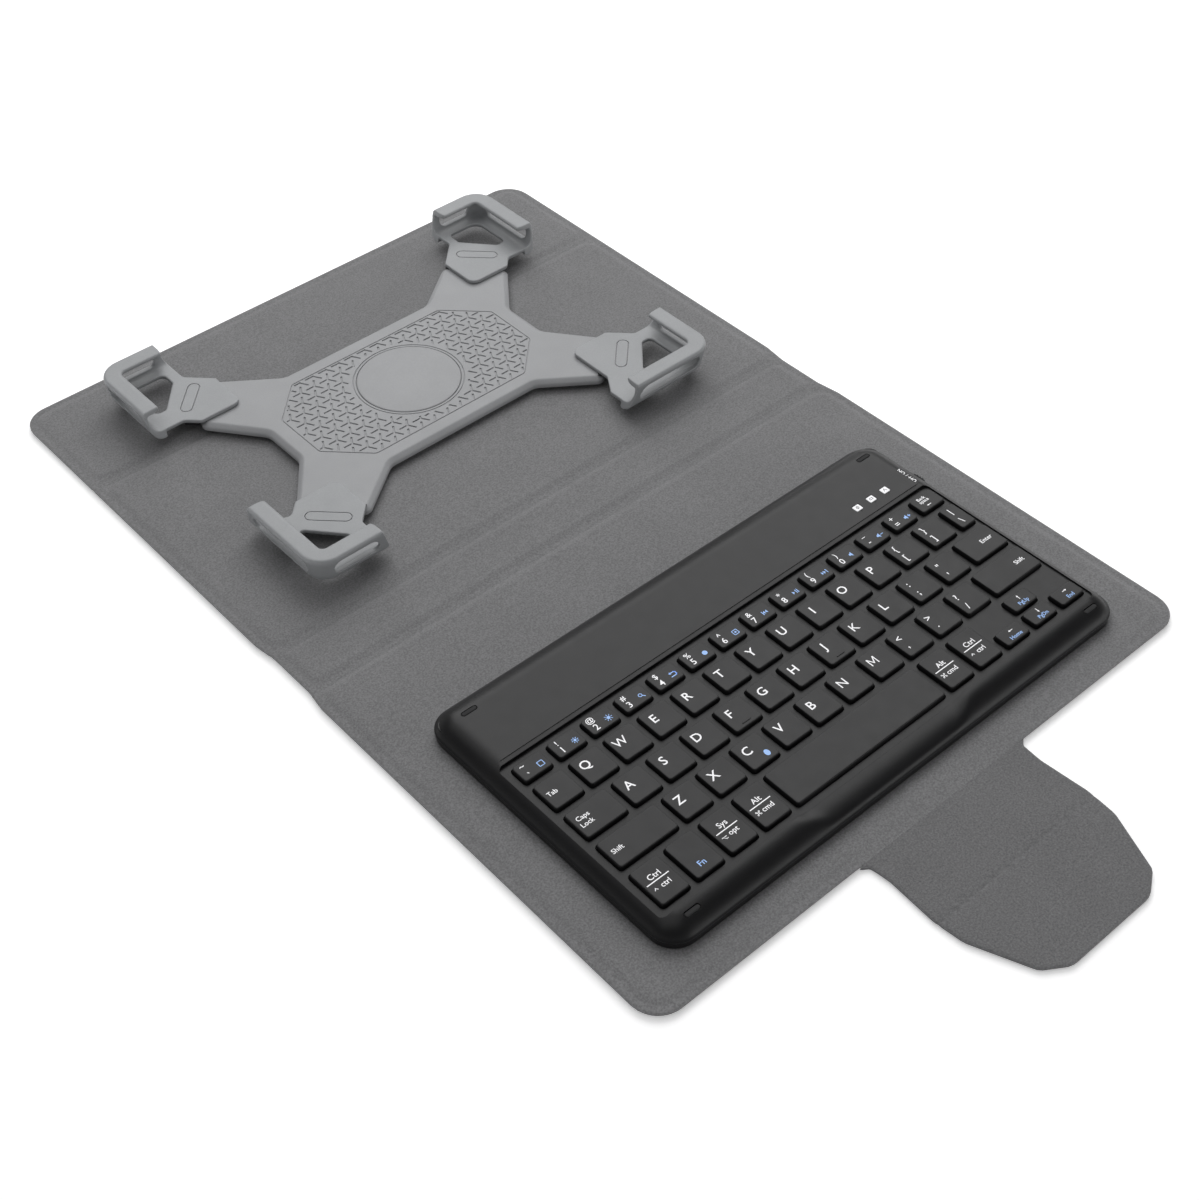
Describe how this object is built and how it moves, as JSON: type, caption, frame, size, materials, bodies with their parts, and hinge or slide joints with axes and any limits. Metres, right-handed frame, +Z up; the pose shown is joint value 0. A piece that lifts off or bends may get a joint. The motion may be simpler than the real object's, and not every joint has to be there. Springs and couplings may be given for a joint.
{
  "type": "tablet keyboard case",
  "caption": "Folding tablet case lying open: wireless keyboard on the front cover, X-shaped holder with sprung corner grips on the back cover, stand strip and closing flap.",
  "frame": {"origin": "middle of the keyboard cover's underside, on the table", "axes": "+Z up; +X to the typist's right; +Y away from the typist, toward the spine and the back cover"},
  "size_m": [0.2818, 0.4906, 0.0212],
  "materials": {
    "outer_skin": "grained synthetic leather",
    "stiff_board": "pressed fibre board",
    "lining_cloth": "brushed microfibre",
    "plated_steel": "plated",
    "keyboard_shell": "fine satin texture",
    "key_cap": "matte",
    "black_rubber": "matte",
    "silicone_sheet": "translucent matte",
    "battery_foil": "foil pouch",
    "circuit_board": "lacquered",
    "indicator_window": "clear over white print",
    "holder_plastic": "moulded satin",
    "grip_plastic": "soft moulded",
    "spring_steel": "drawn wire"
  },
  "bodies": {
    "keyboard_side": {"keyboard_panel_outer_skin": "outer_skin", "keyboard_panel_board": "stiff_board", "keyboard_panel_lining": "lining_cloth", "keyboard_bottom_shell": "keyboard_shell", "keyboard_top_shell": "keyboard_shell", "bumper_rear_left": "black_rubber", "bumper_rear_right": "black_rubber", "bumper_front_left": "black_rubber", "bumper_front_right": "black_rubber", "key_dome_sheet": "silicone_sheet", "battery": "battery_foil", "control_board": "circuit_board", "indicator_windows": "indicator_window", "charge_socket": "plated_steel"},
    "spine": {"spine_outer_skin": "outer_skin", "spine_board": "stiff_board", "spine_lining": "lining_cloth"},
    "back_cover": {"back_panel_outer_skin": "outer_skin", "back_panel_board": "stiff_board", "back_panel_lining": "lining_cloth", "holder_base": "holder_plastic", "holder_plate": "holder_plastic", "holder_disc": "holder_plastic", "spring_rear_left": "spring_steel", "spring_rear_right": "spring_steel", "spring_front_left": "spring_steel", "spring_front_right": "spring_steel"},
    "stand_strip": {"stand_strip_outer_skin": "outer_skin", "stand_strip_board": "stiff_board", "stand_strip_lining": "lining_cloth", "stand_strip_steel_plate": "plated_steel"},
    "flap_neck": {"flap_neck_outer_skin": "outer_skin", "flap_neck_lining": "lining_cloth"},
    "flap_tip": {"flap_tip_outer_skin": "outer_skin", "flap_tip_lining": "lining_cloth", "flap_tip_magnet": "plated_steel"},
    "power_switch": {"power_switch": "keyboard_shell"},
    "grip_rear_left": {"grip_rear_left": "grip_plastic"},
    "grip_rear_right": {"grip_rear_right": "grip_plastic"},
    "grip_front_left": {"grip_front_left": "grip_plastic"},
    "grip_front_right": {"grip_front_right": "grip_plastic"},
    "keys_number_row": {"keys_number_row": "key_cap"},
    "keys_top_letter_row": {"keys_top_letter_row": "key_cap"},
    "keys_home_row": {"keys_home_row": "key_cap"},
    "keys_bottom_letter_row": {"keys_bottom_letter_row": "key_cap"},
    "key_space": {"key_space": "key_cap"},
    "key_enter": {"key_enter": "key_cap"},
    "key_shift_left": {"key_shift_left": "key_cap"},
    "key_shift_right": {"key_shift_right": "key_cap"},
    "key_ctrl_left": {"key_ctrl_left": "key_cap"},
    "key_fn": {"key_fn": "key_cap"},
    "key_option_left": {"key_option_left": "key_cap"},
    "key_alt_left": {"key_alt_left": "key_cap"},
    "key_alt_right": {"key_alt_right": "key_cap"},
    "key_ctrl_right": {"key_ctrl_right": "key_cap"},
    "key_home": {"key_home": "key_cap"},
    "key_page_up": {"key_page_up": "key_cap"},
    "key_page_down": {"key_page_down": "key_cap"},
    "key_end": {"key_end": "key_cap"}
  },
  "joints": [
    {"name": "spine_fold", "type": "hinge", "parent": "keyboard_side", "child": "spine", "pos_m": [0, 0.097, 0.0037], "axis": [1, 0, 0], "range_deg": [0, 90]},
    {"name": "back_cover_fold", "type": "hinge", "parent": "spine", "child": "back_cover", "pos_m": [0, 0.1234, 0.0037], "axis": [1, 0, 0], "range_deg": [0, 90]},
    {"name": "stand_strip_fold", "type": "hinge", "parent": "back_cover", "child": "stand_strip", "pos_m": [0, 0.255, 0], "axis": [1, 0, 0], "range_deg": [-110, 0], "stiffness_Nm_per_rad": 0.02},
    {"name": "flap_neck_fold", "type": "hinge", "parent": "keyboard_side", "child": "flap_neck", "pos_m": [0, -0.0989, 0.001], "axis": [-1, 0, 0], "range_deg": [-90, 90], "stiffness_Nm_per_rad": 0.01},
    {"name": "flap_tip_fold", "type": "hinge", "parent": "flap_neck", "child": "flap_tip", "pos_m": [0, -0.1319, 0.002], "axis": [-1, 0, 0], "range_deg": [-10, 90], "stiffness_Nm_per_rad": 0.01},
    {"name": "grip_slide_rear_left", "type": "slide", "parent": "back_cover", "child": "grip_rear_left", "axis": [-0.7071, 0.7071, 0], "range_m": [0, 0.012], "stiffness_N_per_m": 120, "springref_m": -0.01},
    {"name": "grip_slide_rear_right", "type": "slide", "parent": "back_cover", "child": "grip_rear_right", "axis": [0.7071, 0.7071, 0], "range_m": [0, 0.012], "stiffness_N_per_m": 120, "springref_m": -0.01},
    {"name": "grip_slide_front_left", "type": "slide", "parent": "back_cover", "child": "grip_front_left", "axis": [-0.7071, -0.7071, 0], "range_m": [0, 0.012], "stiffness_N_per_m": 120, "springref_m": -0.01},
    {"name": "grip_slide_front_right", "type": "slide", "parent": "back_cover", "child": "grip_front_right", "axis": [0.7071, -0.7071, 0], "range_m": [0, 0.012], "stiffness_N_per_m": 120, "springref_m": -0.01},
    {"name": "power_switch_slide", "type": "slide", "parent": "keyboard_side", "child": "power_switch", "axis": [0, 1, 0], "range_m": [0, 0.003]},
    {"name": "number_row_press", "type": "slide", "parent": "keyboard_side", "child": "keys_number_row", "axis": [0, 0, -1], "range_m": [0, 0.0013], "stiffness_N_per_m": 1500, "springref_m": -0.0008},
    {"name": "top_letter_row_press", "type": "slide", "parent": "keyboard_side", "child": "keys_top_letter_row", "axis": [0, 0, -1], "range_m": [0, 0.0013], "stiffness_N_per_m": 1500, "springref_m": -0.0008},
    {"name": "home_row_press", "type": "slide", "parent": "keyboard_side", "child": "keys_home_row", "axis": [0, 0, -1], "range_m": [0, 0.0013], "stiffness_N_per_m": 1500, "springref_m": -0.0008},
    {"name": "bottom_letter_row_press", "type": "slide", "parent": "keyboard_side", "child": "keys_bottom_letter_row", "axis": [0, 0, -1], "range_m": [0, 0.0013], "stiffness_N_per_m": 1500, "springref_m": -0.0008},
    {"name": "space_press", "type": "slide", "parent": "keyboard_side", "child": "key_space", "axis": [0, 0, -1], "range_m": [0, 0.0013], "stiffness_N_per_m": 250, "springref_m": -0.0008},
    {"name": "enter_press", "type": "slide", "parent": "keyboard_side", "child": "key_enter", "axis": [0, 0, -1], "range_m": [0, 0.0013], "stiffness_N_per_m": 250, "springref_m": -0.0008},
    {"name": "shift_left_press", "type": "slide", "parent": "keyboard_side", "child": "key_shift_left", "axis": [0, 0, -1], "range_m": [0, 0.0013], "stiffness_N_per_m": 250, "springref_m": -0.0008},
    {"name": "shift_right_press", "type": "slide", "parent": "keyboard_side", "child": "key_shift_right", "axis": [0, 0, -1], "range_m": [0, 0.0013], "stiffness_N_per_m": 250, "springref_m": -0.0008},
    {"name": "ctrl_left_press", "type": "slide", "parent": "keyboard_side", "child": "key_ctrl_left", "axis": [0, 0, -1], "range_m": [0, 0.0013], "stiffness_N_per_m": 250, "springref_m": -0.0008},
    {"name": "fn_press", "type": "slide", "parent": "keyboard_side", "child": "key_fn", "axis": [0, 0, -1], "range_m": [0, 0.0013], "stiffness_N_per_m": 250, "springref_m": -0.0008},
    {"name": "option_left_press", "type": "slide", "parent": "keyboard_side", "child": "key_option_left", "axis": [0, 0, -1], "range_m": [0, 0.0013], "stiffness_N_per_m": 250, "springref_m": -0.0008},
    {"name": "alt_left_press", "type": "slide", "parent": "keyboard_side", "child": "key_alt_left", "axis": [0, 0, -1], "range_m": [0, 0.0013], "stiffness_N_per_m": 250, "springref_m": -0.0008},
    {"name": "alt_right_press", "type": "slide", "parent": "keyboard_side", "child": "key_alt_right", "axis": [0, 0, -1], "range_m": [0, 0.0013], "stiffness_N_per_m": 250, "springref_m": -0.0008},
    {"name": "ctrl_right_press", "type": "slide", "parent": "keyboard_side", "child": "key_ctrl_right", "axis": [0, 0, -1], "range_m": [0, 0.0013], "stiffness_N_per_m": 250, "springref_m": -0.0008},
    {"name": "home_press", "type": "slide", "parent": "keyboard_side", "child": "key_home", "axis": [0, 0, -1], "range_m": [0, 0.0013], "stiffness_N_per_m": 250, "springref_m": -0.0008},
    {"name": "page_up_press", "type": "slide", "parent": "keyboard_side", "child": "key_page_up", "axis": [0, 0, -1], "range_m": [0, 0.0013], "stiffness_N_per_m": 250, "springref_m": -0.0008},
    {"name": "page_down_press", "type": "slide", "parent": "keyboard_side", "child": "key_page_down", "axis": [0, 0, -1], "range_m": [0, 0.0013], "stiffness_N_per_m": 250, "springref_m": -0.0008},
    {"name": "end_press", "type": "slide", "parent": "keyboard_side", "child": "key_end", "axis": [0, 0, -1], "range_m": [0, 0.0013], "stiffness_N_per_m": 250, "springref_m": -0.0008}
  ]
}
